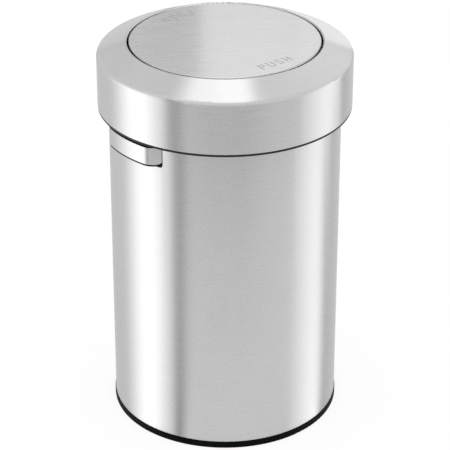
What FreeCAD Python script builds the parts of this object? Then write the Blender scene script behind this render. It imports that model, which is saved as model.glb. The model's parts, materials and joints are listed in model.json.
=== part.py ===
import FreeCAD, Part
import math
import os

# Round push-flap trash can. Millimetres, +Z up, origin on the floor under the can's axis.
# The push marks are on the -Y and +Y sides, the handles on the -X and +X sides, the flap turns about X.

# Overall sizes
overall_height = 658.5
body_radius = 190.0
lid_overhang = 17.5
lid_height = 106.2
lid_ring_width = 49.5
sheet = 0.8
plastic_wall = 2.5
fit_gap = 0.3
close_gap = 0.1
cut_past = 1.0
join_depth = 1.0
same = 0.01

# Base ring, bottom pan and their fasteners
pad_stand_off = 0.4
base_ring_height = 11.6
base_ring_proud = 1.2
base_shadow_gap = 0.8
base_channel_width = 8.8
base_wall = 2.8
base_flange_width = 17.0
base_edge_round = 1.2
spigot_wall = 3.0
spigot_top_gap = 3.0
pan_floor_height = 19.5
pan_bend = 3.0
pad_count = 6
pad_angle = 14.0
base_screw_count = 6
boss_radius = 5.0
boss_below = 4.0
screw_core = 1.6
screw_hole = 2.2
screw_head = 4.0
screw_head_height = 2.4
base_screw_length = 11.0
screw_end_room = 1.0

# Body shell and rim
rim_drop = 57.0
seam_width = 1.0
seam_depth = 0.25
rim_wall = 2.6
rim_cap = 2.8
rim_depth = 12.0
rim_slot_gap = 0.2
rim_round = 1.2

# Side handles
handle_proud = 14.0
handle_bend_angle = 15.0
handle_end_angle = 19.55
handle_lid_gap = 6.3
handle_height = 35.4
plate_border = 3.2
plate_corner = 5.0
plate_bend = 24.0
grip_wall = 2.5
grip_corner = 3.5
grip_inner_bend = 8.6
window_side_gap = 1.4
window_margin = 3.2
window_corner = 5.0
window_gap = 0.4
cup_wall = 2.2
cup_depth = 32.0
cup_flange = 8.0
cup_flange_wall = 2.3
foot_end_gap = 2.5
grip_boss_radius = 4.0
grip_boss_length = 6.0
grip_screw_core = 1.4
grip_screw_hole = 1.8
grip_screw_head = 3.0
grip_screw_head_height = 1.8
grip_screw_inset = 8.0
stud_radius = 1.5
stud_hole = 1.8
stud_length = 7.0
stud_edge = 4.0
nut_flats = 5.5
nut_height = 2.1

# Lid cover
shoulder_drop = 20.0
shoulder_round = 7.0
opening_round = 2.0
opening_rise = 1.0
opening_flange = 7.0

# Lid liner and lid frame
trim_height = 3.6
trim_shadow_gap = 0.2
trim_inset = 0.3
gasket_height = 2.5
gasket_width = 4.8
spigot_gap = 1.0
spigot_depth = 15.0
throat_flare = 14.0
throat_flange = 7.0
collar_rise = 11.5
collar_top_gap = 0.7
skirt_wall_drop = 9.0
ledge_gap = 0.8
rib_count = 8
rib_cover_gap = 0.5
rib_setback = 4.0
cover_stud_count = 6
cover_stud_radius = 2.0
cover_stud_inset = 9.5
cover_stud_below = 4.5
cover_nut_flats = 7.0
cover_nut_height = 3.2

# Flap
flap_gap = 3.0
flap_round = 1.8
flap_rim = 9.0
pan_rim = 10.1
pan_chamfer = 1.2
pan_rib = 2.2
pan_rib_depth = 7.6
pan_ring_radius = 60.0
push_depth = 0.3
push_inset = 30.5
push_height = 19.0
push_stroke = 2.9
push_letter_width = 12.0
push_letter_step = 16.5
push_bowl_share = 0.28
push_curl_start = 25.0
push_curl_sweep = 245.0

# Pivot
pivot_drop = 17.0
pin_radius = 4.0
pin_fit = 0.05
pin_inside = 24.0
pin_outside = 7.0
boss_length = 25.7
boss_outer_radius = 8.5
boss_web = 10.0
spacer_radius = 7.0
bush_radius = 6.0
bush_flange_radius = 7.5
bush_flange_height = 1.2
block_depth = 12.6
block_half_width = 17.0
block_crown = 8.2
block_shoulder = 6.0
ear_half_width = 26.0
ear_height = 6.0
ear_screw_offset = 21.5
block_screw_length = 18.5
pedestal_height = 19.0
pedestal_half_width = 27.0
clip_radius = 7.0
clip_height = 0.9
clip_groove = 0.7
cam_hub_radius = 6.0
cam_width = 4.0
cam_gap = 1.0
cam_reach = 17.0
cam_half_width = 2.5
swing_limit = 75.0
stop_radius = 2.5
stop_distance = 13.0
stop_gap = 0.2

# Counterweight
weight_length = 200.0
weight_width = 36.0
weight_height = 14.0
weight_chamfer = 1.0
weight_drop = 22.0
hanger_wall = 2.0
hanger_width = 30.0
hanger_foot = 20.0
hanger_offset = 70.0
hanger_stud_offset = 9.0
weight_bolt_radius = 2.4
weight_bolt_hole = 2.8
weight_bolt_head = 4.5
weight_bolt_head_height = 3.0
weight_bolt_tail = 5.0
weight_nut_flats = 8.0
weight_nut_height = 4.0
disc_stud_inset = 45.0
disc_stud_count = 4
disc_stud_tail = 6.0

# Sizes that follow from the ones above
lid_radius = body_radius + lid_overhang
opening_radius = lid_radius - lid_ring_width
skirt_bottom = overall_height - lid_height
shoulder_height = overall_height - shoulder_drop
shell_top = overall_height - rim_drop
handle_top = skirt_bottom - handle_lid_gap
handle_bottom = handle_top - handle_height
shell_inner = body_radius - sheet
base_radius = body_radius + base_ring_proud
shell_bottom = base_ring_height + base_shadow_gap
pan_radius = shell_inner - close_gap
spigot_radius = pan_radius - sheet - fit_gap
channel_outer = base_radius - base_wall
channel_inner = channel_outer - base_channel_width
base_web_bottom = base_ring_height - base_wall
boss_circle = channel_inner - base_flange_width / 2
rim_outer = body_radius + rim_slot_gap + rim_wall
rim_inner = shell_inner - rim_slot_gap - rim_wall
rim_top = shell_top + rim_slot_gap + rim_cap
grip_radius = body_radius + handle_proud
plate_low = handle_bottom + plate_border
plate_high = handle_top - plate_border
window_low = handle_bottom - window_margin
window_high = handle_top + window_margin
handle_mid = (handle_bottom + handle_top) / 2
window_half_width = body_radius * math.sin(math.radians(handle_end_angle)) + window_side_gap
cup_half_width = window_half_width - window_gap
cup_low = window_low + window_gap
cup_high = window_high - window_gap
cup_back = body_radius - cup_depth
cup_flange_outer = shell_inner - fit_gap
cup_flange_inner = cup_flange_outer - cup_flange_wall
stud_side = cup_half_width + cup_flange - stud_edge
stud_levels = (cup_low - cup_flange + stud_edge, cup_high + cup_flange - stud_edge)
grip_screw_x = cup_back + grip_screw_inset
foot_face = cup_half_width - cup_wall - fit_gap
cover_inner = lid_radius - sheet
cone_top = overall_height + opening_rise
cone_slope = (cone_top - shoulder_height) / (lid_radius - opening_radius)
cone_drop = sheet * math.sqrt(1 + cone_slope * cone_slope)
liner_radius = cover_inner - fit_gap
liner_inner = liner_radius - plastic_wall
frame_radius = liner_inner - fit_gap
trim_top = skirt_bottom - trim_shadow_gap
trim_bottom = trim_top - trim_height
web_bottom = rim_top + gasket_height
web_top = web_bottom + plastic_wall
ledge_bottom = web_bottom - plastic_wall
ledge_inner = rim_outer + ledge_gap
throat_radius = opening_radius + throat_flare
throat_outer = throat_radius + plastic_wall
throat_flange_outer = throat_outer + throat_flange
throat_flange_top = web_top + plastic_wall
web_inner = throat_outer + fit_gap
collar_bottom = web_top + collar_rise
skirt_wall_top = shoulder_height - skirt_wall_drop
collar_inner = opening_radius + sheet + fit_gap
collar_outer = collar_inner + plastic_wall
locating_radius = rim_inner - spigot_gap
flap_radius = opening_radius - flap_gap
push_centre = flap_radius - push_inset
disc_stud_circle = flap_radius - disc_stud_inset
disc_under = overall_height - sheet
pan_top = disc_under - close_gap
pan_under = pan_top - plastic_wall
pan_outer = flap_radius - sheet - fit_gap
pivot_height = overall_height - pivot_drop
pin_hole = pin_radius + pin_fit
block_inner = collar_outer + sheet
block_outer = block_inner + block_depth
block_middle = (block_inner + block_outer) / 2
block_bottom = web_top + pedestal_height
block_top = pivot_height + block_shoulder
ear_top = block_bottom + ear_height
boss_outer_end = pan_outer - 2 * close_gap
boss_inner_end = boss_outer_end - boss_length
pin_inner_end = boss_outer_end - pin_inside
pin_outer_end = block_outer + pin_outside
clip_start = block_outer + fit_gap
cam_start = clip_start + clip_height + cam_gap
hanger_bottom = pivot_height - weight_drop
weight_top = hanger_bottom - hanger_wall
weight_bottom = weight_top - weight_height
hanger_stud_x = hanger_offset + hanger_foot / 2

UP = FreeCAD.Vector(0, 0, 1)
ALONG_X = FreeCAD.Vector(1, 0, 0)
ORIGIN = FreeCAD.Vector(0, 0, 0)


def cover_underside(radius):
    """Height of the cone's underside at a radius."""
    return cone_top - (radius - opening_radius) * cone_slope - cone_drop


def box(x0, x1, y0, y1, z0, z1):
    """Box between two corners."""
    return Part.makeBox(x1 - x0, y1 - y0, z1 - z0, FreeCAD.Vector(x0, y0, z0))


def tube(outer, inner, z0, z1):
    """Upright ring between two radii and two heights."""
    ring = Part.makeCylinder(outer, z1 - z0, FreeCAD.Vector(0, 0, z0), UP)
    return ring.cut(Part.makeCylinder(inner, z1 - z0, FreeCAD.Vector(0, 0, z0), UP))


def rod(radius, start, end):
    """Round rod between two points."""
    along = end.sub(start)
    return Part.makeCylinder(radius, along.Length, start, along)


def rod_x(radius, x0, x1, y, z):
    """Round rod along X."""
    return rod(radius, FreeCAD.Vector(x0, y, z), FreeCAD.Vector(x1, y, z))


def rod_z(radius, x, y, z0, z1):
    """Round rod along Z."""
    return rod(radius, FreeCAD.Vector(x, y, z0), FreeCAD.Vector(x, y, z1))


def hex_prism(flats, start, along, height):
    """Hexagonal prism standing on a point along a direction."""
    side = along.cross(UP)
    if side.Length < 0.5:
        side = FreeCAD.Vector(1, 0, 0)
    side.normalize()
    over = along.cross(side)
    corner = flats / math.sqrt(3)
    points = []
    for k in range(7):
        turn = math.radians(60 * k)
        points.append(start + side * (corner * math.cos(turn)) + over * (corner * math.sin(turn)))
    return Part.Face(Part.makePolygon(points)).extrude(along * height)


def nut(flats, bore, start, along, height):
    """Hexagonal nut with a plain bore."""
    return hex_prism(flats, start, along, height).cut(rod(bore, start, start + along * height))


def polar(radius, degrees, z):
    """Point at a radius, an angle from +X and a height."""
    turn = math.radians(degrees)
    return FreeCAD.Vector(radius * math.cos(turn), radius * math.sin(turn), z)


def spun(points):
    """Solid of revolution about Z from a closed outline of (radius, height) points."""
    loop = [FreeCAD.Vector(r, 0, z) for r, z in points]
    loop.append(loop[0])
    return Part.Face(Part.makePolygon(loop)).revolve(ORIGIN, UP, 360)


def left_normal(p, q):
    """Unit normal to the left of the step from p to q."""
    dx = q[0] - p[0]
    dz = q[1] - p[1]
    size = math.hypot(dx, dz)
    return (-dz / size, dx / size)


def moved_path(path, distance):
    """An open path of (radius, height, bend) corners moved to its left, bends kept concentric."""
    moved = []
    last = len(path) - 1
    for i, (r, z, bend) in enumerate(path):
        before = left_normal(path[max(i - 1, 0)], path[max(i, 1)])
        after = left_normal(path[min(i, last - 1)], path[min(i + 1, last)])
        share = distance / (1 + before[0] * after[0] + before[1] * after[1])
        turn = before[0] * after[1] - before[1] * after[0]
        new_bend = bend - distance if turn > 0 else bend + distance
        new_r = r + (before[0] + after[0]) * share
        new_z = z + (before[1] + after[1]) * share
        moved.append((new_r, new_z, new_bend if bend else 0))
    return moved


def path_edges(path):
    """Lines and bend arcs along an open path of (radius, height, bend) corners."""
    edges = []
    here = FreeCAD.Vector(path[0][0], 0, path[0][1])
    for i in range(1, len(path)):
        corner = FreeCAD.Vector(path[i][0], 0, path[i][1])
        bend = path[i][2]
        if bend and i < len(path) - 1:
            back = FreeCAD.Vector(path[i - 1][0], 0, path[i - 1][1]).sub(corner)
            ahead = FreeCAD.Vector(path[i + 1][0], 0, path[i + 1][1]).sub(corner)
            back.normalize()
            ahead.normalize()
            half = back.getAngle(ahead) / 2
            start = corner + back * (bend / math.tan(half))
            end = corner + ahead * (bend / math.tan(half))
            middle = back + ahead
            middle.normalize()
            through = corner + middle * (bend / math.sin(half) - bend)
            edges.append(Part.makeLine(here, start))
            edges.append(Part.Arc(start, through, end).toShape())
            here = end
        else:
            edges.append(Part.makeLine(here, corner))
            here = corner
    return edges


def pressed(path):
    """Round sheet-metal piece: the path is its outer face, the sheet lies to the path's left."""
    inner = moved_path(path, sheet)
    outer_edges = path_edges(path)
    inner_edges = path_edges(inner)
    ends = []
    for k in (0, -1):
        outer_end = FreeCAD.Vector(path[k][0], 0, path[k][1])
        inner_end = FreeCAD.Vector(inner[k][0], 0, inner[k][1])
        ends.append(Part.makeLine(outer_end, inner_end))
    loop = Part.Wire(Part.__sortEdges__(outer_edges + inner_edges + ends))
    return Part.Face(loop).revolve(ORIGIN, UP, 360)


def round_edges(shape, radius, wanted):
    """Round the edges that a test picks out."""
    chosen = [edge for edge in shape.Edges if wanted(edge)]
    return shape.makeFillet(radius, chosen)


def circle_at(radius, height):
    """Test for a full circle about Z of a radius at a height."""

    def matches(edge):
        same_level = abs(edge.BoundBox.ZMin - height) < same and abs(edge.BoundBox.ZMax - height) < same
        return same_level and abs(edge.BoundBox.XMax - radius) < same

    return matches


def mirrored(shape):
    """The same piece on the other side of the YZ plane."""
    return shape.mirror(ORIGIN, ALONG_X)


def both_sides(solids):
    """Pieces of the +X side together with their mirror images."""
    return Part.makeCompound(solids + [mirrored(solid) for solid in solids])


def body_shell():
    shell = tube(body_radius, shell_inner, shell_bottom, shell_top)
    for side in (1, -1):
        shell = shell.cut(window_block(side, window_half_width, window_low, window_high, window_corner))
    seam_start = body_radius - seam_depth
    return shell.cut(box(-seam_width / 2, seam_width / 2, seam_start, lid_radius, shell_bottom, shell_top))


def window_block(side, half_width, low, high, corner):
    """Rounded block along X that cuts a handle window or a cup's pocket."""
    block = box(0, 2 * body_radius, -half_width, half_width, low, high)
    block = round_edges(block, corner, lambda e: abs(e.BoundBox.XLength - 2 * body_radius) < same)
    return block if side > 0 else mirrored(block)


def bottom_pan():
    floor_top = pan_floor_height + sheet
    path = [
        (pan_radius, shell_bottom, 0),
        (pan_radius, floor_top, pan_bend),
        (0, floor_top, 0),
    ]
    pan = pressed(path)
    for spot in base_screw_spots():
        pan = pan.cut(rod_z(screw_hole, spot.x, spot.y, pan_floor_height - cut_past, floor_top + cut_past))
    return pan


def base_screw_spots():
    return [polar(boss_circle, 360 / base_screw_count * k, 0) for k in range(base_screw_count)]


def base_ring():
    flange_inner = channel_inner - base_flange_width
    outline = [
        (flange_inner, base_web_bottom),
        (channel_inner - base_wall, base_web_bottom),
        (channel_inner - base_wall, pad_stand_off),
        (channel_inner, pad_stand_off),
        (channel_inner, base_web_bottom),
        (channel_outer, base_web_bottom),
        (channel_outer, pad_stand_off),
        (base_radius, pad_stand_off),
        (base_radius, base_ring_height),
        (spigot_radius, base_ring_height),
        (spigot_radius, pan_floor_height - spigot_top_gap),
        (spigot_radius - spigot_wall, pan_floor_height - spigot_top_gap),
        (spigot_radius - spigot_wall, base_ring_height),
        (flange_inner, base_ring_height),
    ]
    ring = spun(outline)
    for spot in base_screw_spots():
        ring = ring.fuse(rod_z(boss_radius, spot.x, spot.y, boss_below, pan_floor_height))
    for spot in base_screw_spots():
        hole_end = pan_floor_height - base_screw_length
        ring = ring.cut(rod_z(screw_core, spot.x, spot.y, hole_end, pan_floor_height + cut_past))
    return round_edges(ring.removeSplitter(), base_edge_round, circle_at(base_radius, pad_stand_off))


def base_pads():
    pads = []
    for k in range(pad_count):
        ring = tube(channel_outer - fit_gap, channel_inner + fit_gap, 0, base_web_bottom)
        wedge = Part.makeCylinder(body_radius + lid_radius, base_web_bottom, ORIGIN, UP, pad_angle)
        wedge.rotate(ORIGIN, UP, 360 / pad_count * (k + 0.5) - pad_angle / 2)
        pads.append(ring.common(wedge))
    return Part.makeCompound(pads)


def base_screws():
    screws = []
    top = pan_floor_height + sheet
    for spot in base_screw_spots():
        head = rod_z(screw_head, spot.x, spot.y, top, top + screw_head_height)
        head = round_edges(head, screw_head_height / 2, lambda e: e.BoundBox.ZMin > top + same)
        shank_end = pan_floor_height - base_screw_length + screw_end_room
        shank = rod_z(screw_core - pin_fit, spot.x, spot.y, shank_end, top)
        screws.append(head.fuse(shank))
    return Part.makeCompound(screws)


def rim_collar():
    slot_outer = body_radius + rim_slot_gap
    slot_inner = shell_inner - rim_slot_gap
    outline = [
        (rim_inner, rim_top - rim_depth),
        (slot_inner, rim_top - rim_depth),
        (slot_inner, rim_top - rim_cap),
        (slot_outer, rim_top - rim_cap),
        (slot_outer, rim_top - rim_depth),
        (rim_outer, rim_top - rim_depth),
        (rim_outer, rim_top),
        (rim_inner, rim_top),
    ]
    collar = spun(outline)
    collar = round_edges(collar, rim_round, circle_at(rim_outer, rim_top))
    return round_edges(collar, rim_round, circle_at(rim_inner, rim_top))


def ramp_line(inward):
    """Point and direction of the handle's straight end face, moved inward, in plan."""
    bend = polar(grip_radius, handle_bend_angle, 0)
    end = polar(body_radius, handle_end_angle, 0)
    direction = end.sub(bend)
    direction.normalize()
    outward = FreeCAD.Vector(direction.y, -direction.x, 0)
    return bend - outward * inward, direction


def ramp_start(inward):
    """Where the moved end face meets the moved bow."""
    point, direction = ramp_line(inward)
    radius = grip_radius - inward
    along = point.dot(direction)
    reach = math.sqrt(along * along - point.dot(point) + radius * radius)
    return point - direction * (reach + along)


def ramp_at_side(inward, y):
    """Where the moved end face reaches a distance to the side."""
    point, direction = ramp_line(inward)
    return point + direction * ((y - point.y) / direction.y)


def bow_prism(outer_end, inner_end, outer_inward, inner_inward, low, high, feet, inner_bend_round):
    """Handle bow of constant wall: arc, straight ends and optional feet, between two heights."""
    outer_bend = ramp_start(outer_inward)
    inner_bend = ramp_start(inner_inward)
    outer_top = FreeCAD.Vector(grip_radius - outer_inward, 0, 0)
    inner_top = FreeCAD.Vector(grip_radius - inner_inward, 0, 0)
    outer_points = [outer_bend, outer_end] + [foot[0] for foot in feet]
    inner_points = [inner_bend, inner_end] + [foot[1] for foot in feet]

    def low_side(point):
        return FreeCAD.Vector(point.x, -point.y, 0)

    edges = [Part.Arc(low_side(outer_bend), outer_top, outer_bend).toShape()]
    edges.append(Part.Arc(low_side(inner_bend), inner_top, inner_bend).toShape())
    for points in (outer_points, inner_points):
        for start, end in zip(points, points[1:]):
            edges.append(Part.makeLine(start, end))
            edges.append(Part.makeLine(low_side(start), low_side(end)))
    edges.append(Part.makeLine(outer_points[-1], inner_points[-1]))
    edges.append(Part.makeLine(low_side(outer_points[-1]), low_side(inner_points[-1])))
    prism = Part.Face(Part.Wire(Part.__sortEdges__(edges))).extrude(UP * (high - low))
    prism.translate(UP * low)

    def at_bend(bend):
        def matches(edge):
            upright = edge.BoundBox.ZLength > high - low - same
            beside = abs(abs(edge.BoundBox.YMin) - bend.y) < same
            return upright and beside and abs(edge.BoundBox.XMin - bend.x) < same

        return matches

    prism = round_edges(prism, plate_bend - outer_inward, at_bend(outer_bend))
    return round_edges(prism, inner_bend_round, at_bend(inner_bend))


def plate_ends():
    """Outer and inner corner of the face plate's end, in plan."""
    outer_end = polar(body_radius, handle_end_angle, 0)
    direction = ramp_line(0)[1]
    outward = FreeCAD.Vector(direction.y, -direction.x, 0)
    return outer_end, outer_end - outward * sheet


def handle_plate():
    outer_end, inner_end = plate_ends()
    plate = bow_prism(outer_end, inner_end, 0, sheet, plate_low, plate_high, [], plate_bend - sheet)
    return plate.common(window_block(1, outer_end.y, plate_low, plate_high, plate_corner))


def handle_grip():
    outer_inward = sheet + close_gap
    inner_inward = outer_inward + grip_wall
    outer_end = ramp_at_side(outer_inward, foot_face)
    inner_end = ramp_at_side(inner_inward, foot_face - grip_wall)
    foot_x = cup_back + cup_wall + foot_end_gap
    foot = (FreeCAD.Vector(foot_x, foot_face, 0), FreeCAD.Vector(foot_x, foot_face - grip_wall, 0))
    grip = bow_prism(
        outer_end, inner_end, outer_inward, inner_inward, handle_bottom, handle_top, [foot], grip_inner_bend
    )
    grip = grip.common(window_block(1, foot_face, handle_bottom, handle_top, grip_corner))
    for side in (1, -1):
        face = FreeCAD.Vector(grip_screw_x, side * foot_face, handle_mid)
        tip = FreeCAD.Vector(grip_screw_x, side * (foot_face - grip_boss_length), handle_mid)
        inside = FreeCAD.Vector(grip_screw_x, side * (foot_face - grip_wall / 2), handle_mid)
        grip = grip.fuse(rod(grip_boss_radius, inside, tip))
        hole_end = tip + FreeCAD.Vector(0, side * screw_end_room, 0)
        grip = grip.cut(rod(grip_screw_core, face, hole_end))
    return grip


def handle_cup():
    outer = window_block(1, cup_half_width, cup_low, cup_high, window_corner)
    outer = outer.common(box(cup_back, body_radius, -body_radius, body_radius, cup_low, cup_high))
    outer = outer.common(rod_z(body_radius - close_gap, 0, 0, cup_low, cup_high))
    flange_side = cup_half_width + cup_flange
    flange_low = cup_low - cup_flange
    flange_high = cup_high + cup_flange
    flange = tube(cup_flange_outer, cup_flange_inner, flange_low, flange_high)
    flange = flange.common(box(0, body_radius, -flange_side, flange_side, flange_low, flange_high))
    inner_corner = window_corner - cup_wall
    pocket_side = cup_half_width - cup_wall
    pocket = window_block(1, pocket_side, cup_low + cup_wall, cup_high - cup_wall, inner_corner)
    pocket = pocket.common(box(cup_back + cup_wall, lid_radius, -body_radius, body_radius, cup_low, cup_high))
    cup = outer.fuse(flange).cut(pocket)
    notch_x = plate_ends()[1].x - fit_gap
    notch_low = plate_low - fit_gap
    notch_high = plate_high + fit_gap
    for side in (1, -1):
        notch_sides = sorted((side * foot_face, side * window_half_width))
        cup = cup.cut(box(notch_x, lid_radius, *notch_sides, notch_low, notch_high))
        wall_in = FreeCAD.Vector(grip_screw_x, side * (pocket_side - cut_past), handle_mid)
        wall_out = FreeCAD.Vector(grip_screw_x, side * (cup_half_width + cut_past), handle_mid)
        cup = cup.cut(rod(grip_screw_hole, wall_in, wall_out))
    for start, along in stud_places():
        cup = cup.cut(rod(stud_hole, start, start + along * stud_length))
    return cup.removeSplitter()


def stud_places():
    """Root point and inward direction of each stud that holds a handle cup."""
    places = []
    turn = math.degrees(math.asin(stud_side / shell_inner))
    for angle in (turn, -turn):
        for level in stud_levels:
            root = polar(shell_inner - close_gap, angle, level)
            along = polar(-1, angle, 0)
            places.append((root, along))
    return places


def handle_studs():
    return both_sides([rod(stud_radius, root, root + along * stud_length) for root, along in stud_places()])


def handle_nuts():
    nuts = []
    seat = shell_inner - cup_flange_inner
    for root, along in stud_places():
        nuts.append(nut(nut_flats, stud_radius + pin_fit, root + along * seat, along, nut_height))
    return both_sides(nuts)


def grip_screws():
    screws = []
    for side in (1, -1):
        across = FreeCAD.Vector(0, side, 0)
        seat = FreeCAD.Vector(grip_screw_x, side * cup_half_width, handle_mid)
        head = rod(grip_screw_head, seat, seat + across * grip_screw_head_height)
        shank_length = cup_half_width - foot_face + grip_boss_length - 2 * screw_end_room
        shank = rod(grip_screw_core - pin_fit, seat, seat - across * shank_length)
        screws.append(head.fuse(shank))
    return both_sides(screws)


def lid_cover():
    path = [
        (lid_radius, skirt_bottom, 0),
        (lid_radius, shoulder_height, shoulder_round),
        (opening_radius, cone_top, opening_round),
        (opening_radius, overall_height - opening_flange, 0),
    ]
    return pressed(path)


def throat_core():
    """Space inside the middle of the throat's wall, where its pedestals start."""
    return spun([
        (0, web_bottom),
        (throat_radius + plastic_wall / 2, web_bottom),
        (collar_inner + plastic_wall / 2, collar_bottom),
        (collar_inner + plastic_wall / 2, overall_height),
        (0, overall_height),
    ])


def frame_rib():
    """Upright rib between the throat and the liner's wall, which carries the cover's cone."""
    inner = collar_outer + fit_gap
    start = throat_flange_outer + fit_gap
    outer = frame_radius - join_depth
    crest = outer - rib_setback
    outline = [
        (start, web_top - join_depth),
        (outer, web_top - join_depth),
        (outer, skirt_wall_top - join_depth),
        (crest, cover_underside(crest) - rib_cover_gap),
        (inner, cover_underside(collar_outer) - collar_top_gap),
        (inner, collar_bottom + join_depth),
        (start, throat_flange_top + fit_gap),
    ]
    loop = [FreeCAD.Vector(r, -plastic_wall / 2, z) for r, z in outline]
    loop.append(loop[0])
    return Part.Face(Part.makePolygon(loop)).extrude(FreeCAD.Vector(0, plastic_wall, 0))


def lid_liner():
    """Ring inside the skirt, with the trim lip below it and a ledge that carries the frame."""
    liner = spun([
        (liner_inner, trim_bottom),
        (lid_radius - trim_inset, trim_bottom),
        (lid_radius - trim_inset, trim_top),
        (liner_radius, trim_top),
        (liner_radius, skirt_wall_top),
        (liner_inner, skirt_wall_top),
        (liner_inner, web_bottom),
        (ledge_inner, web_bottom),
        (ledge_inner, ledge_bottom),
        (liner_inner, ledge_bottom),
    ])
    return cover_stud_holes(liner)


def lid_frame():
    frame = spun([
        (web_inner, web_bottom),
        (locating_radius - plastic_wall, web_bottom),
        (locating_radius - plastic_wall, web_bottom - spigot_depth),
        (locating_radius, web_bottom - spigot_depth),
        (locating_radius, web_bottom),
        (frame_radius, web_bottom),
        (frame_radius, web_top),
        (web_inner, web_top),
    ])
    for k in range(rib_count):
        rib = frame_rib()
        rib.rotate(ORIGIN, UP, 360 / rib_count * (k + 0.5))
        frame = frame.fuse(rib)
    return cover_stud_holes(frame).removeSplitter()


def lid_throat():
    """Funnel under the opening, seated on the frame's web, with a pedestal for each bearing block."""
    collar_top = cover_underside(collar_outer) - collar_top_gap
    funnel_top = collar_bottom + join_depth
    funnel_slope = (throat_outer - collar_outer) / (funnel_top - web_top)
    throat = spun([
        (throat_radius, web_bottom),
        (throat_outer, web_bottom),
        (throat_outer, web_top),
        (throat_flange_outer, web_top),
        (throat_flange_outer, throat_flange_top),
        (throat_outer - plastic_wall * funnel_slope, throat_flange_top),
        (collar_outer, funnel_top),
        (collar_outer, collar_top),
        (collar_inner, collar_top),
        (collar_inner, collar_bottom),
    ])
    core = throat_core()
    for side in (1, -1):
        width = pedestal_half_width
        pedestal = box(collar_inner, block_outer + join_depth, -width, width, web_top, block_bottom)
        pedestal = pedestal.cut(core)
        for y in (ear_screw_offset, -ear_screw_offset):
            hole_end = ear_top - block_screw_length - screw_end_room
            pedestal = pedestal.cut(rod_z(screw_core, block_middle, y, hole_end, block_bottom + cut_past))
        throat = throat.fuse(pedestal if side > 0 else mirrored(pedestal))
        hole_start = side * (collar_inner - cut_past)
        throat = throat.cut(rod_x(block_crown, hole_start, side * block_inner, 0, pivot_height))
    return throat.removeSplitter()


def cover_stud_spots():
    circle = lid_radius - cover_stud_inset
    return [polar(circle, 360 / cover_stud_count * k, 0) for k in range(cover_stud_count)]


def cover_stud_holes(shape):
    hole = cover_stud_radius + close_gap
    for spot in cover_stud_spots():
        shape = shape.cut(rod_z(hole, spot.x, spot.y, ledge_bottom - cut_past, web_top + cut_past))
    return shape


def cover_studs():
    circle = lid_radius - cover_stud_inset
    top = cover_underside(circle + cover_stud_radius) - close_gap
    low = ledge_bottom - cover_stud_below
    return Part.makeCompound([rod_z(cover_stud_radius, p.x, p.y, low, top) for p in cover_stud_spots()])


def cover_nuts():
    nuts = []
    for spot in cover_stud_spots():
        start = FreeCAD.Vector(spot.x, spot.y, ledge_bottom)
        nuts.append(nut(cover_nut_flats, cover_stud_radius + pin_fit, start, -UP, cover_nut_height))
    return Part.makeCompound(nuts)


def lid_gasket():
    middle = (rim_outer + rim_inner) / 2
    return tube(middle + gasket_width / 2, middle - gasket_width / 2, rim_top, web_bottom)


def bearing_block():
    block = box(block_inner, block_outer, -block_half_width, block_half_width, block_bottom, block_top)
    block = block.fuse(rod_x(block_crown, block_inner, block_outer, 0, pivot_height))
    block = block.fuse(box(block_inner, block_outer, -ear_half_width, ear_half_width, block_bottom, ear_top))
    bore = bush_radius + pin_fit
    block = block.cut(rod_x(bore, block_inner - cut_past, block_outer + cut_past, 0, pivot_height))
    for y in (ear_screw_offset, -ear_screw_offset):
        block = block.cut(rod_z(screw_hole, block_middle, y, block_bottom - cut_past, ear_top + cut_past))
    return block.removeSplitter()


def bearing_bush():
    bush = rod_x(bush_radius, block_inner, block_outer, 0, pivot_height)
    flange_start = block_inner - bush_flange_height
    bush = bush.fuse(rod_x(bush_flange_radius, flange_start, block_inner, 0, pivot_height))
    return bush.cut(rod_x(pin_hole, flange_start - cut_past, block_outer + cut_past, 0, pivot_height))


def bearing_screws():
    screws = []
    for y in (ear_screw_offset, -ear_screw_offset):
        head = rod_z(screw_head, block_middle, y, ear_top, ear_top + screw_head_height)
        shank = rod_z(screw_core - pin_fit, block_middle, y, ear_top - block_screw_length, ear_top)
        screws.append(head.fuse(shank))
    return both_sides(screws)


def swing_stops():
    """Rubber posts that the stop cams meet at both ends of the swing."""
    stops = []
    lead = math.degrees(math.asin((cam_half_width + stop_radius + stop_gap) / stop_distance))
    turn = math.radians(swing_limit + lead)
    for side in (1, -1):
        y = side * stop_distance * math.sin(turn)
        z = pivot_height - stop_distance * math.cos(turn)
        stops.append(rod_x(stop_radius, block_outer, cam_start + cam_width, y, z))
    return both_sides(stops)


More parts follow.
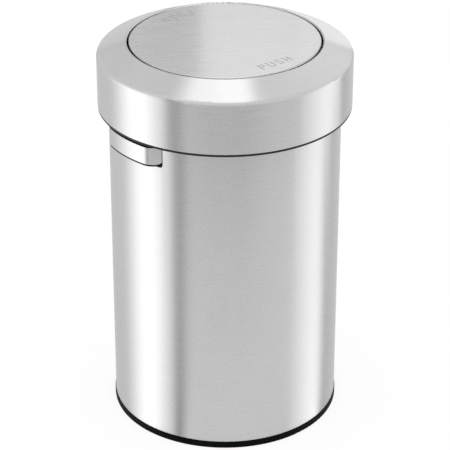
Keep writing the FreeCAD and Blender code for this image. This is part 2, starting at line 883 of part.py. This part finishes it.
def letter_strokes(letter):
    """Strokes of a block letter standing on the origin, as prisms of the stamping depth."""
    thick = 2 * push_depth
    width = push_letter_width
    height = push_height
    s = push_stroke

    def bar(x0, x1, y0, y1):
        return box(x0, x1, y0, y1, -push_depth, thick - push_depth)

    def arc(x, y, radius, start, sweep):
        base = FreeCAD.Vector(x, y, -push_depth)
        ring = Part.makeCylinder(radius, thick, base, UP, sweep)
        ring = ring.cut(Part.makeCylinder(radius - s, thick, base, UP))
        ring.rotate(FreeCAD.Vector(x, y, 0), UP, start)
        return ring

    stem = bar(0, s, 0, height)
    if letter == "P":
        bowl = height * push_bowl_share
        strokes = [stem, arc(width - bowl, height - bowl, bowl, -90, 180)]
        strokes.append(bar(s, width - bowl, height - s, height))
        strokes.append(bar(s, width - bowl, height - 2 * bowl, height - 2 * bowl + s))
    elif letter == "U":
        half = width / 2
        strokes = [bar(0, s, half, height), bar(width - s, width, half, height)]
        strokes.append(arc(half, half, half, 180, 180))
    elif letter == "S":
        loop = (height + s) / 4
        middle = width / 2
        strokes = [arc(middle, height - loop, loop, push_curl_start, push_curl_sweep)]
        strokes.append(arc(middle, loop, loop, push_curl_start - 180, push_curl_sweep))
    else:
        strokes = [stem, bar(width - s, width, 0, height)]
        strokes.append(bar(s, width - s, (height - s) / 2, (height + s) / 2))
    solid = strokes[0]
    for stroke in strokes[1:]:
        solid = solid.fuse(stroke)
    return solid.removeSplitter()


def push_mark():
    """The stamped word on the front half of the flap, its foot towards the rim."""
    letters = []
    word = "PUSH"
    middle = (len(word) - 1) / 2
    for k, letter in enumerate(word):
        solid = letter_strokes(letter)
        left = (k - middle) * push_letter_step - push_letter_width / 2
        solid.translate(FreeCAD.Vector(left, -push_centre - push_height / 2, overall_height))
        letters.append(solid)
    return Part.makeCompound(letters)


def flap_disc():
    path = [
        (flap_radius, overall_height - flap_rim, 0),
        (flap_radius, overall_height, flap_round),
        (0, overall_height, 0),
    ]
    disc = pressed(path)
    front = push_mark()
    back = front.copy()
    back.rotate(ORIGIN, UP, 180)
    for letter in front.Solids + back.Solids:
        disc = disc.cut(letter)
    return disc


def disc_stud_spots():
    """Plan position and clamped thickness below the disc of each stud welded under the flap."""
    spots = []
    for x in (hanger_stud_x, -hanger_stud_x):
        for y in (hanger_stud_offset, -hanger_stud_offset):
            spots.append((x, y, pan_under - hanger_wall))
    for k in range(disc_stud_count):
        spot = polar(disc_stud_circle, 360 / disc_stud_count * (k + 0.5), 0)
        spots.append((spot.x, spot.y, pan_under))
    return spots


def flap_pan():
    pan = spun([
        (0, pan_under),
        (pan_outer - plastic_wall, pan_under),
        (pan_outer - plastic_wall, pan_top - pan_rim),
        (pan_outer, pan_top - pan_rim),
        (pan_outer, pan_top - pan_chamfer),
        (pan_outer - pan_chamfer, pan_top),
        (0, pan_top),
    ])
    rib_low = pan_under - pan_rib_depth
    rib_high = pan_under + join_depth
    pan = pan.fuse(tube(pan_ring_radius + pan_rib, pan_ring_radius, rib_low, rib_high))
    for k in range(rib_count):
        rib_start = pan_ring_radius + join_depth
        rib = box(rib_start, pan_outer - join_depth, -pan_rib / 2, pan_rib / 2, rib_low, rib_high)
        rib.rotate(ORIGIN, UP, 360 / rib_count * (k + 0.5))
        pan = pan.fuse(rib)
    for side in (1, -1):
        notch = rod_x(boss_outer_radius + fit_gap, boss_inner_end, pan_outer + cut_past, 0, pivot_height)
        pan = pan.cut(notch if side > 0 else mirrored(notch))
    for x, y, seat in disc_stud_spots():
        pan = pan.cut(rod_z(stud_hole, x, y, pan_under - cut_past, pan_top + cut_past))
    return pan.removeSplitter()


def pivot_boss():
    """Boss that holds a pivot pin, with a foot bonded under the pan."""
    boss = rod_x(boss_outer_radius, boss_inner_end, boss_outer_end, 0, pivot_height)
    foot_end = pan_outer - plastic_wall - fit_gap
    boss = boss.fuse(box(boss_inner_end, foot_end, -boss_web / 2, boss_web / 2, pivot_height, pan_under))
    foot_low = pan_under - plastic_wall
    foot = box(boss_inner_end, foot_end, -boss_outer_radius, boss_outer_radius, foot_low, pan_under)
    boss = boss.fuse(foot)
    boss = boss.cut(rod_x(pin_hole, pin_inner_end, boss_outer_end + cut_past, 0, pivot_height))
    return boss.removeSplitter()


def disc_studs():
    studs = []
    for x, y, seat in disc_stud_spots():
        studs.append(rod_z(stud_radius, x, y, seat - disc_stud_tail, disc_under))
    return Part.makeCompound(studs)


def disc_nuts():
    nuts = []
    for x, y, seat in disc_stud_spots():
        nuts.append(nut(nut_flats, stud_radius + pin_fit, FreeCAD.Vector(x, y, seat), -UP, nut_height))
    return Part.makeCompound(nuts)


def pivot_pin():
    pin = rod_x(pin_radius, pin_inner_end + screw_end_room, pin_outer_end, 0, pivot_height)
    clip_end = clip_start + clip_height
    groove = rod_x(clip_radius, clip_start, clip_end, 0, pivot_height)
    groove = groove.cut(rod_x(pin_radius - clip_groove, clip_start, clip_end, 0, pivot_height))
    return pin.cut(groove)


def pivot_spacer():
    start = pan_outer + close_gap
    end = block_inner - bush_flange_height - close_gap
    spacer = rod_x(spacer_radius, start, end, 0, pivot_height)
    return spacer.cut(rod_x(pin_hole, start, end, 0, pivot_height))


def pin_clip():
    start = clip_start + pin_fit
    end = clip_start + clip_height - pin_fit
    clip = rod_x(clip_radius, start, end, 0, pivot_height)
    clip = clip.cut(rod_x(pin_radius - clip_groove + pin_fit, start, end, 0, pivot_height))
    slot = pin_radius - clip_groove
    return clip.cut(box(start, end, -slot, slot, pivot_height, pivot_height + 2 * clip_radius))


def stop_cam():
    start = cam_start
    end = cam_start + cam_width
    cam = rod_x(cam_hub_radius, start, end, 0, pivot_height)
    cam = cam.fuse(box(start, end, -cam_half_width, cam_half_width, pivot_height - cam_reach, pivot_height))
    return cam.cut(rod_x(pin_hole, start - cut_past, end + cut_past, 0, pivot_height)).removeSplitter()


def weight_hanger():
    half = hanger_width / 2
    top = pan_under
    near = hanger_offset
    far = hanger_offset + hanger_foot
    hanger = box(near, near + hanger_wall, -half, half, weight_top, top)
    hanger = hanger.fuse(box(near, far, -half, half, top - hanger_wall, top))
    hanger = hanger.fuse(box(near, far, -half, half, weight_top, hanger_bottom))
    for y in (hanger_stud_offset, -hanger_stud_offset):
        stud_start = top - hanger_wall - cut_past
        hanger = hanger.cut(rod_z(stud_hole, hanger_stud_x, y, stud_start, top + cut_past))
        bolt_end = hanger_bottom + cut_past
        hanger = hanger.cut(rod_z(weight_bolt_hole, hanger_stud_x, y, weight_top - cut_past, bolt_end))
    return hanger.removeSplitter()


def weight_bolt_spots():
    spots = []
    for x in (hanger_stud_x, -hanger_stud_x):
        for y in (hanger_stud_offset, -hanger_stud_offset):
            spots.append((x, y))
    return spots


def counterweight():
    half = weight_width / 2
    bar = box(-weight_length / 2, weight_length / 2, -half, half, weight_bottom, weight_top)
    bar = bar.makeChamfer(weight_chamfer, bar.Edges)
    for x, y in weight_bolt_spots():
        bar = bar.cut(rod_z(weight_bolt_hole, x, y, weight_bottom - cut_past, weight_top + cut_past))
    return bar


def weight_bolts():
    bolts = []
    for x, y in weight_bolt_spots():
        head = rod_z(weight_bolt_head, x, y, weight_bottom - weight_bolt_head_height, weight_bottom)
        shank = rod_z(weight_bolt_radius, x, y, weight_bottom, hanger_bottom + weight_bolt_tail)
        bolts.append(head.fuse(shank))
    return Part.makeCompound(bolts)


def weight_nuts():
    nuts = []
    for x, y in weight_bolt_spots():
        start = FreeCAD.Vector(x, y, hanger_bottom)
        nuts.append(nut(weight_nut_flats, weight_bolt_radius + pin_fit, start, UP, weight_nut_height))
    return Part.makeCompound(nuts)


single_nodes = {
    "body_shell": body_shell,
    "bottom_pan": bottom_pan,
    "base_ring": base_ring,
    "base_pads": base_pads,
    "base_screws": base_screws,
    "rim_collar": rim_collar,
    "grip_screws": grip_screws,
    "handle_studs": handle_studs,
    "handle_nuts": handle_nuts,
    "lid_cover": lid_cover,
    "lid_liner": lid_liner,
    "lid_frame": lid_frame,
    "lid_throat": lid_throat,
    "cover_studs": cover_studs,
    "cover_nuts": cover_nuts,
    "lid_gasket": lid_gasket,
    "bearing_screws": bearing_screws,
    "swing_stops": swing_stops,
    "flap_disc": flap_disc,
    "flap_pan": flap_pan,
    "disc_studs": disc_studs,
    "disc_nuts": disc_nuts,
    "counterweight": counterweight,
    "weight_bolts": weight_bolts,
    "weight_nuts": weight_nuts,
}

paired_nodes = {
    "handle_cup": handle_cup,
    "handle_grip": handle_grip,
    "handle_plate": handle_plate,
    "bearing_block": bearing_block,
    "bearing_bush": bearing_bush,
    "pivot_boss": pivot_boss,
    "pivot_pin": pivot_pin,
    "pivot_spacer": pivot_spacer,
    "pin_clip": pin_clip,
    "stop_cam": stop_cam,
    "weight_hanger": weight_hanger,
}

os.makedirs("parts", exist_ok=True)
for name, make in single_nodes.items():
    make().exportStep("parts/" + name + ".step")
for name, make in paired_nodes.items():
    right = make()
    right.exportStep("parts/" + name + "_right.step")
    mirrored(right).exportStep("parts/" + name + "_left.step")
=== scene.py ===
import json
import math

import bpy
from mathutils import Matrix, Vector


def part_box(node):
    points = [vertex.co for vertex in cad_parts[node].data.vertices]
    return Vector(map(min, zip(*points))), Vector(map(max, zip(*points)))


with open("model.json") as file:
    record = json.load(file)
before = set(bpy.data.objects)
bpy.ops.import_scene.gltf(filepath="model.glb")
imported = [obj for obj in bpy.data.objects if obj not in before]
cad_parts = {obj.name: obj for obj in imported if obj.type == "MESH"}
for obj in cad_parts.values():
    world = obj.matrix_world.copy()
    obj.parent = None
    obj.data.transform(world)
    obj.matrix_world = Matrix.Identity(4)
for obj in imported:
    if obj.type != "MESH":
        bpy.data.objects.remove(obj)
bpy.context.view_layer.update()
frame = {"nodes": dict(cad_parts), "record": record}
nodes = frame["nodes"]
scene = bpy.context.scene
scene.view_settings.view_transform = "Standard"

# Photograph's viewpoint
VIEW_AZIMUTH = -39.0
CAMERA_PITCH = 27.806
CAMERA_DISTANCE = 3.103378
CAMERA_HEIGHT = 1.957788
FOCAL_PIXELS = 2087.313
FRAME_PIXELS = 450
SENSOR = 36.0
FARTHEST_SEEN = 200.0

# Directions on the floor, as seen from the camera
turn = math.radians(VIEW_AZIMUTH)
TOWARDS = Vector((math.sin(turn), -math.cos(turn), 0))
RIGHT = Vector((math.cos(turn), math.sin(turn), 0))
UP = Vector((0, 0, 1))


def place(right, towards, height):
    """Point given by its offsets from the can's axis, as seen from the camera."""
    return RIGHT * right + TOWARDS * towards + UP * height


class Graph:
    """Short way to write a node tree."""

    def __init__(self, tree):
        self.tree = tree
        self.tree.nodes.clear()

    def add(self, kind, inputs=None, **settings):
        node = self.tree.nodes.new(kind)
        for name, value in settings.items():
            setattr(node, name, value)
        for name, value in (inputs or {}).items():
            socket = node.inputs[name]
            if isinstance(value, bpy.types.NodeSocket):
                self.tree.links.new(value, socket)
            else:
                socket.default_value = value
        return node

    def math(self, operation, a, b=0.0, clamp=False):
        node = self.add("ShaderNodeMath", {0: a, 1: b}, operation=operation, use_clamp=clamp)
        return node.outputs[0]

    def span(self, value, low, high, to_low=0.0, to_high=1.0, smooth=False):
        inputs = {"Value": value, "From Min": low, "From Max": high, "To Min": to_low, "To Max": to_high}
        kind = "SMOOTHSTEP" if smooth else "LINEAR"
        return self.add("ShaderNodeMapRange", inputs, interpolation_type=kind).outputs[0]

    def noise(self, vector, scale, detail=2.0, roughness=0.5):
        inputs = {"Vector": vector, "Scale": scale, "Detail": detail, "Roughness": roughness}
        return self.add("ShaderNodeTexNoise", inputs).outputs["Fac"]

    def mix(self, factor, a, b):
        node = self.add("ShaderNodeMix", data_type="RGBA")
        for index, value in ((0, factor), (6, a), (7, b)):
            if isinstance(value, bpy.types.NodeSocket):
                self.tree.links.new(value, node.inputs[index])
            else:
                node.inputs[index].default_value = value
        return node.outputs[2]

    def vector(self, x, y, z):
        return self.add("ShaderNodeCombineXYZ", {"X": x, "Y": y, "Z": z}).outputs[0]


def grey(value):
    return (value, value, value, 1.0)


def material(name):
    made = bpy.data.materials.new(name)
    made.use_nodes = True
    return made, Graph(made.node_tree)


def object_parts(g):
    """Object coordinates of a point: its vector, x, y, z and distance from the axis."""
    point = g.add("ShaderNodeTexCoord").outputs["Object"]
    parts = g.add("ShaderNodeSeparateXYZ", {0: point})
    x, y, z = parts.outputs
    across = g.math("SQRT", g.math("ADD", g.math("MULTIPLY", x, x), g.math("MULTIPLY", y, y)))
    return point, x, y, z, across


# Depth of the surface relief, in metres, and the quarter turn that runs highlights along the brush lines
RELIEF_DEPTH = 0.0002
QUARTER_TURN = 0.25


def finish(
    g, colour, rough, height, tangent=None, anisotropy=0.0, bump=0.1, metallic=1.0, level=0.5, edge=1.0
):
    """Surface of metal, plastic or rubber from its colour, roughness and height sockets."""
    relief = g.add("ShaderNodeBump", {"Height": height, "Strength": bump, "Distance": RELIEF_DEPTH})
    inputs = {
        "Base Color": colour,
        "Roughness": rough,
        "Metallic": metallic,
        "Specular IOR Level": level,
        "Specular Tint": grey(edge),
        "Anisotropic": anisotropy,
        "Normal": relief.outputs[0],
    }
    if tangent is not None:
        inputs["Tangent"] = tangent
        inputs["Anisotropic Rotation"] = QUARTER_TURN
    shader = g.add("ShaderNodeBsdfPrincipled", inputs)
    g.add("ShaderNodeOutputMaterial", {"Surface": shader.outputs[0]})


def world_direction(g, vector):
    """Unit vector in the world's axes, from one in the piece's own."""
    turned = g.add(
        "ShaderNodeVectorTransform",
        {0: vector},
        vector_type="VECTOR",
        convert_from="OBJECT",
        convert_to="WORLD",
    )
    return g.add("ShaderNodeVectorMath", {0: turned.outputs[0]}, operation="NORMALIZE").outputs[0]


# Brushed steel: its reflectance, a very slight green tint, roughness, dimming at grazing angles and stretch
STEEL = 0.575
STEEL_COLOUR = (STEEL * 0.997, STEEL * 1.003, STEEL)
STEEL_ROUGH = 0.27
STEEL_EDGE = 0.8
STEEL_ANISOTROPY = 1.0
STEEL_BUMP = 0.05
STREAK_ROUND = 5.0
STREAK_LENGTHWISE = 28.0
STREAK_ACROSS = 900.0
STREAK_DEPTH = 60.0
MARK_DIMMING = 0.25
MARK_ROUGHENING = 0.1
MARKS_REACH = 0.148


def brushed(g, streaks, wide, tangent, mark=None):
    """Brushed steel: fine streaks from one vector, broad drift and smears from another."""
    fine = g.noise(streaks, 1.0, 6.0, 0.62)
    drift = g.noise(wide, 5.0, 2.0)
    smear = g.span(g.noise(wide, 14.0, 4.0, 0.6), 0.55, 0.8, smooth=True)
    tone = g.math("ADD", g.span(fine, 0.2, 0.8, 0.93, 1.07), g.span(drift, 0.3, 0.7, -0.012, 0.012))
    tone = g.math("SUBTRACT", tone, g.math("MULTIPLY", smear, 0.012))
    rough = g.math("ADD", g.span(fine, 0.2, 0.8, -0.03, 0.03), STEEL_ROUGH)
    rough = g.math("ADD", rough, g.math("MULTIPLY", smear, 0.02))
    if mark is not None:
        tone = g.math("MULTIPLY", tone, g.math("SUBTRACT", 1.0, g.math("MULTIPLY", mark, MARK_DIMMING)))
        rough = g.math("ADD", rough, g.math("MULTIPLY", mark, MARK_ROUGHENING))
    scaled = g.add("ShaderNodeVectorMath", {0: STEEL_COLOUR, "Scale": tone}, operation="SCALE")
    finish(g, scaled.outputs[0], rough, fine, tangent, STEEL_ANISOTROPY, STEEL_BUMP, edge=STEEL_EDGE)


def round_brushed_steel():
    """Steel brushed round the can's axis, on walls and on the lid's cone alike."""
    made, g = material("round_brushed_steel")
    point, x, y, z, across = object_parts(g)
    along = g.math("SUBTRACT", z, across)
    ring_x = g.math("DIVIDE", x, across)
    ring_y = g.math("DIVIDE", y, across)
    streaks = g.vector(
        g.math("MULTIPLY", ring_x, STREAK_ROUND),
        g.math("MULTIPLY", ring_y, STREAK_ROUND),
        g.math("MULTIPLY", along, STREAK_ACROSS),
    )
    tangent = world_direction(g, g.vector(g.math("MULTIPLY", y, -1.0), x, 0.0))
    brushed(g, streaks, point, tangent)
    return made


def straight_brushed_steel():
    """Steel sheet brushed in straight lines, with the stamped marks a little duller."""
    made, g = material("straight_brushed_steel")
    point, x, y, z, across = object_parts(g)
    lengthwise = g.math("ADD", g.math("MULTIPLY", x, RIGHT.x), g.math("MULTIPLY", y, RIGHT.y))
    crosswise = g.math("ADD", g.math("MULTIPLY", x, TOWARDS.x), g.math("MULTIPLY", y, TOWARDS.y))
    streaks = g.vector(
        g.math("MULTIPLY", lengthwise, STREAK_LENGTHWISE),
        g.math("MULTIPLY", crosswise, STREAK_ACROSS),
        g.math("MULTIPLY", z, STREAK_DEPTH),
    )
    tangent = world_direction(g, tuple(RIGHT))
    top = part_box("flap_disc")[1][2]
    low = g.span(z, top - 0.00025, top - 0.00005, 1.0, 0.0)
    inside = g.math("LESS_THAN", across, MARKS_REACH)
    above = g.math("GREATER_THAN", z, top - 0.0005)
    mark = g.math("MULTIPLY", g.math("MULTIPLY", low, inside), above)
    brushed(g, streaks, point, tangent, mark)
    return made


def plain_metal(name, colour, rough, grain, tint):
    """Plated, rolled or painted metal with a mottled surface."""
    made, g = material(name)
    point = g.add("ShaderNodeTexCoord").outputs["Object"]
    fine = g.noise(point, grain, 4.0, 0.6)
    broad = g.noise(point, 22.0, 3.0)
    shade = g.mix(g.span(broad, 0.3, 0.7), (*colour, 1), (*tint, 1))
    roughness = g.math("ADD", g.span(fine, 0.25, 0.75, -0.06, 0.06), rough)
    return made, g, shade, roughness, fine


def zinc_steel():
    colour, tint = (0.5, 0.515, 0.54), (0.56, 0.56, 0.55)
    made, g, shade, rough, fine = plain_metal("zinc_steel", colour, 0.34, 900.0, tint)
    finish(g, shade, rough, fine, bump=0.06)
    return made


def pan_steel():
    colour, tint = (0.42, 0.42, 0.42), (0.48, 0.48, 0.475)
    made, g, shade, rough, fine = plain_metal("pan_steel", colour, 0.42, 700.0, tint)
    finish(g, shade, rough, fine, bump=0.08)
    return made


def weight_steel():
    colour, tint = (0.03, 0.03, 0.033), (0.045, 0.045, 0.048)
    made, g, shade, rough, fine = plain_metal("weight_steel", colour, 0.42, 400.0, tint)
    finish(g, shade, rough, fine, bump=0.25, metallic=0.0, level=0.4)
    return made


def moulded(name, colour, tint, rough, grain, bump, level):
    """Moulded plastic or rubber: fine spark texture, slight scuffs and dust."""
    made, g = material(name)
    point = g.add("ShaderNodeTexCoord").outputs["Object"]
    fine = g.noise(point, grain, 3.0, 0.6)
    broad = g.noise(point, 18.0, 4.0, 0.6)
    scuff = g.span(g.noise(point, 60.0, 5.0, 0.7), 0.6, 0.82, smooth=True)
    shade = g.mix(g.span(broad, 0.3, 0.75), (*colour, 1), (*tint, 1))
    roughness = g.math("ADD", g.span(fine, 0.25, 0.75, -0.05, 0.05), rough)
    roughness = g.math("ADD", roughness, g.math("MULTIPLY", scuff, 0.06))
    finish(g, shade, roughness, fine, bump=bump, metallic=0.0, level=level)
    return made


def black(name, dark, light, rough, level):
    """Black moulded plastic between two greys, very slightly blue."""
    shades = [(tone, tone, blue) for tone, blue in (dark, light)]
    return moulded(name, *shades, rough, 1500.0, 0.12, level)


finishes = {
    "brushed_steel": round_brushed_steel(),
    "pan_steel": pan_steel(),
    "zinc_steel": zinc_steel(),
    "weight_steel": weight_steel(),
    "black_plastic": black("black_plastic", (0.012, 0.0122), (0.017, 0.0173), 0.45, 0.25),
    "nylon": moulded("nylon", (0.72, 0.71, 0.67), (0.78, 0.77, 0.74), 0.45, 900.0, 0.06, 0.5),
    "rubber": moulded("rubber", (0.016, 0.016, 0.016), (0.024, 0.024, 0.024), 0.75, 1100.0, 0.2, 0.3),
}
slots = {part["node"]: part["material_slot"] for part in frame["record"]["subparts"]}
edging = black("black_edging", (0.003, 0.0031), (0.005, 0.0051), 0.55, 0.03)
foot = black("black_foot", (0.005, 0.0051), (0.008, 0.0081), 0.55, 0.03)
special = {
    "flap_disc": straight_brushed_steel(),
    "base_ring": foot,
    "lid_frame": edging,
    "handle_grip_left": edging,
    "handle_grip_right": edging,
}
for name, node in nodes.items():
    node.data.materials.clear()
    node.data.materials.append(special.get(name, finishes[slots[name]]))

def rectangle(x, y):
    """Corners of a flat rectangle, from its half sides."""
    return [(-x, -y, 0), (x, -y, 0), (x, y, 0), (-x, y, 0)]


# Floor: pale, white to the camera and in reflections, with the can's own shadow kept
FLOOR_GLOW = 0.86
FLOOR_COLOUR = 0.18
FLOOR_HALF = 30.0
floor_mesh = bpy.data.meshes.new("floor")
floor_mesh.from_pydata(rectangle(FLOOR_HALF, FLOOR_HALF), [], [(0, 1, 2, 3)])
floor = bpy.data.objects.new("floor", floor_mesh)
scene.collection.objects.link(floor)
floor_paint, g = material("floor")


def seen_ray(g):
    """1 for rays from the camera, a reflection or a transmission, and 0 for light off matt surfaces."""
    path = g.add("ShaderNodeLightPath")
    either = g.math("ADD", path.outputs["Is Camera Ray"], path.outputs["Is Glossy Ray"])
    return g.math("ADD", either, path.outputs["Is Transmission Ray"], clamp=True)


point = g.add("ShaderNodeTexCoord").outputs["Object"]
speckle = g.span(g.noise(point, 40.0, 3.0), 0.3, 0.7, FLOOR_COLOUR * 0.98, FLOOR_COLOUR)
paint = g.vector(speckle, speckle, speckle)
matt = g.add("ShaderNodeBsdfDiffuse", {"Color": paint, "Roughness": 0.5})
shine = g.math("MULTIPLY", seen_ray(g), FLOOR_GLOW)
glow = g.add("ShaderNodeEmission", {"Color": grey(1.0), "Strength": shine})
total = g.add("ShaderNodeAddShader", {0: matt.outputs[0], 1: glow.outputs[0]})
g.add("ShaderNodeOutputMaterial", {"Surface": total.outputs[0]})
floor_mesh.materials.append(floor_paint)
floor_paint.cycles.emission_sampling = "NONE"

# Surroundings: white to the camera and in reflections
ROOM_LIGHT = 0.85
world = bpy.data.worlds.new("studio")
scene.world = world
world.use_nodes = True
world.cycles.sampling_method = "NONE"
g = Graph(world.node_tree)
strength = g.span(seen_ray(g), 0.0, 1.0, ROOM_LIGHT, 1.0)
room = g.add("ShaderNodeBackground", {"Color": grey(1.0), "Strength": strength})
g.add("ShaderNodeOutputWorld", {"Surface": room.outputs[0]})


def ramp(g, share, profile):
    """Strength along a share from 0 to 1, from pairs of share and strength."""
    made = g.add("ShaderNodeValToRGB", {0: share})
    stops = made.color_ramp.elements
    while len(stops) < len(profile):
        stops.new(0.5)
    for stop, (position, value) in zip(stops, profile):
        stop.position = position
        stop.color = grey(value)
    return made.outputs[0]


def stand(thing, centre, target):
    """Set a lamp or a card up at a place, facing a point."""
    scene.collection.objects.link(thing)
    thing.location = centre
    thing.rotation_euler = (target - centre).to_track_quat("-Z", "Y").to_euler()


def softbox(name, centre, target, width, height, radiance, profile):
    """Rectangular lamp with its strength across its width."""
    lamp = bpy.data.lights.new(name, "AREA")
    lamp.shape = "RECTANGLE"
    lamp.size = width
    lamp.size_y = height
    lamp.energy = math.pi * width * height * radiance
    lamp.use_nodes = True
    g = Graph(lamp.node_tree)
    on_lamp = g.add("ShaderNodeNewGeometry").outputs["Parametric"]
    across = g.add("ShaderNodeSeparateXYZ", {0: on_lamp}).outputs[0]
    light = g.add("ShaderNodeEmission", {"Strength": ramp(g, across, profile)})
    g.add("ShaderNodeOutputLight", {"Surface": light.outputs[0]})
    stand(bpy.data.objects.new(name, lamp), centre, target)


def reflected_only(name, corners, faces, glow):
    """Staged sheet that shows only in reflections; glow makes its strength from its node tree."""
    mesh = bpy.data.meshes.new(name)
    mesh.from_pydata(corners, [], faces)
    sheet = bpy.data.objects.new(name, mesh)
    sheet.visible_camera = False
    sheet.visible_shadow = False
    sheet.visible_diffuse = False
    tone, g = material(name)
    light = g.add("ShaderNodeEmission", {"Strength": glow(g)})
    g.add("ShaderNodeOutputMaterial", {"Surface": light.outputs[0]})
    tone.cycles.emission_sampling = "NONE"
    mesh.materials.append(tone)
    return sheet


def card(name, centre, target, width, height, low, high):
    """Upright card with its tone running from one side to the other."""

    def glow(g):
        on_card = g.add("ShaderNodeTexCoord").outputs["Generated"]
        across = g.add("ShaderNodeSeparateXYZ", {0: on_card}).outputs[0]
        return g.span(across, 0.0, 1.0, low, high)

    sheet = reflected_only(name, rectangle(width / 2, height / 2), [(0, 1, 2, 3)], glow)
    stand(sheet, centre, target)


def tone_at(stops, angle):
    """Tone at an angle, along straight lines between the stops."""
    for (low, first), (high, last) in zip(stops, stops[1:]):
        if angle <= high:
            return first + (last - first) * (angle - low) / (high - low)


def floor_fan(name, near, far, lift, stops):
    """Sheet just over the floor that widens away from the can.

    Its edges run where the photograph's viewpoint sees it in the body's wall. Each stop gives the tone at one
    facing angle of the wall, in degrees from the camera, with the left side negative.
    """
    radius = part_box("body_shell")[1][0]
    corners = []
    tones = []
    for angle in range(stops[0][0], stops[-1][0] + 1):
        normal = place(math.sin(math.radians(angle)), math.cos(math.radians(angle)), 0)
        sight = (normal * radius - TOWARDS * CAMERA_DISTANCE).normalized()
        away = sight - normal * (2 * sight.dot(normal))
        for reach in (near, far):
            corners.append(normal * radius + away * reach + UP * lift)
            tones.append(tone_at(stops, angle))
    faces = [(k, k + 1, k + 3, k + 2) for k in range(0, len(corners) - 2, 2)]

    def glow(g):
        return g.add("ShaderNodeAttribute", attribute_name="tone").outputs["Fac"]

    sheet = reflected_only(name, corners, faces, glow)
    sheet.data.attributes.new("tone", "FLOAT", "POINT").data.foreach_set("value", tones)
    scene.collection.objects.link(sheet)


def facing(right, towards, height):
    """Place beside the can, and the point level with it that a lamp or card there faces."""
    return place(right, towards, height), place(0, towards, height)


def behind(right, height):
    """Place of a card behind the can, and the point that it faces."""
    return place(right, -0.8, height), place(right, 0, height)


# Softboxes on both sides, overhead and behind
EVEN = [(0, 1), (1, 1)]
softbox("left_softbox", *facing(-8, 2.08, 1.4), 8.25, 2.8, 0.8, [(0, 0.2), (0.25, 1), (0.6, 1), (1, 0.1)])
softbox("right_softbox", *facing(8, 0.73, 1.25), 5.95, 2.5, 0.65, [(0, 0), (0.9, 1), (1, 1)])
softbox("corner_softbox", place(3.4, -5.0, 5.9), place(0, 0, 0.6), 2.2, 2.2, 0.35, EVEN)
softbox("top_softbox", place(-0.07, -0.3, 2.05), place(-0.07, -0.299, 0), 0.7, 1.2, 1.12, EVEN)

# Boards that show in the steel: upright beside the softboxes and behind, and flat on the floor
card("left_card", *facing(-8, 8.5, 3), 4.4, 6.0, 0.5, 0.5)
card("right_card", *facing(8, -3.9, 1.25), 3.2, 2.5, 0.8, 1.0)
card("back_left_card", *behind(-0.225, 1.6), 0.35, 1.7, 0.72, 0.72)
card("back_right_card", *behind(0.775, 1.65), 1.65, 1.6, 1.05, 1.26)
card("back_low_card", *behind(0.325, 0.675), 0.35, 0.35, 1.7, 1.7)
card("back_low_left_card", *behind(-0.325, 0.675), 0.35, 0.35, 1.25, 1.25)
LOW, HIGH = 0.002, 0.004
left_tones = [(-59, 0.95), (-46, 1.97), (-38, 1.97), (-28, 1.1), (-24, 0.45), (-19, 0.95), (-16, 1.0)]
right_tones = [(33, 1.0), (51, 1.9), (54, 1.8), (58, 0.65), (66, 0.95)]
far_right_tones = [(36, 1.0), (53, 1.85), (57, 1.8), (61, 0.65), (68, 0.95)]
front_tones = [(-22, 0.4), (-16, 0.5), (-6, 0.3), (8, 0.25), (22, 0.65), (35, 0.75)]
floor_fan("left_board", 0.01, 12.0, LOW, left_tones)
floor_fan("right_board", 0.01, 1.2, LOW, right_tones)
floor_fan("far_right_board", 1.2, 12.0, LOW, far_right_tones)
floor_fan("front_board", 1.0, 2.4, HIGH, front_tones)

# Camera
lens = bpy.data.cameras.new("camera")
lens.sensor_width = SENSOR
lens.lens = FOCAL_PIXELS * SENSOR / FRAME_PIXELS
lens.clip_end = FARTHEST_SEEN
camera = bpy.data.objects.new("camera", lens)
scene.collection.objects.link(camera)
camera.location = TOWARDS * CAMERA_DISTANCE + UP * CAMERA_HEIGHT
camera.rotation_euler = (math.radians(90 - CAMERA_PITCH), 0, turn)
scene.camera = camera
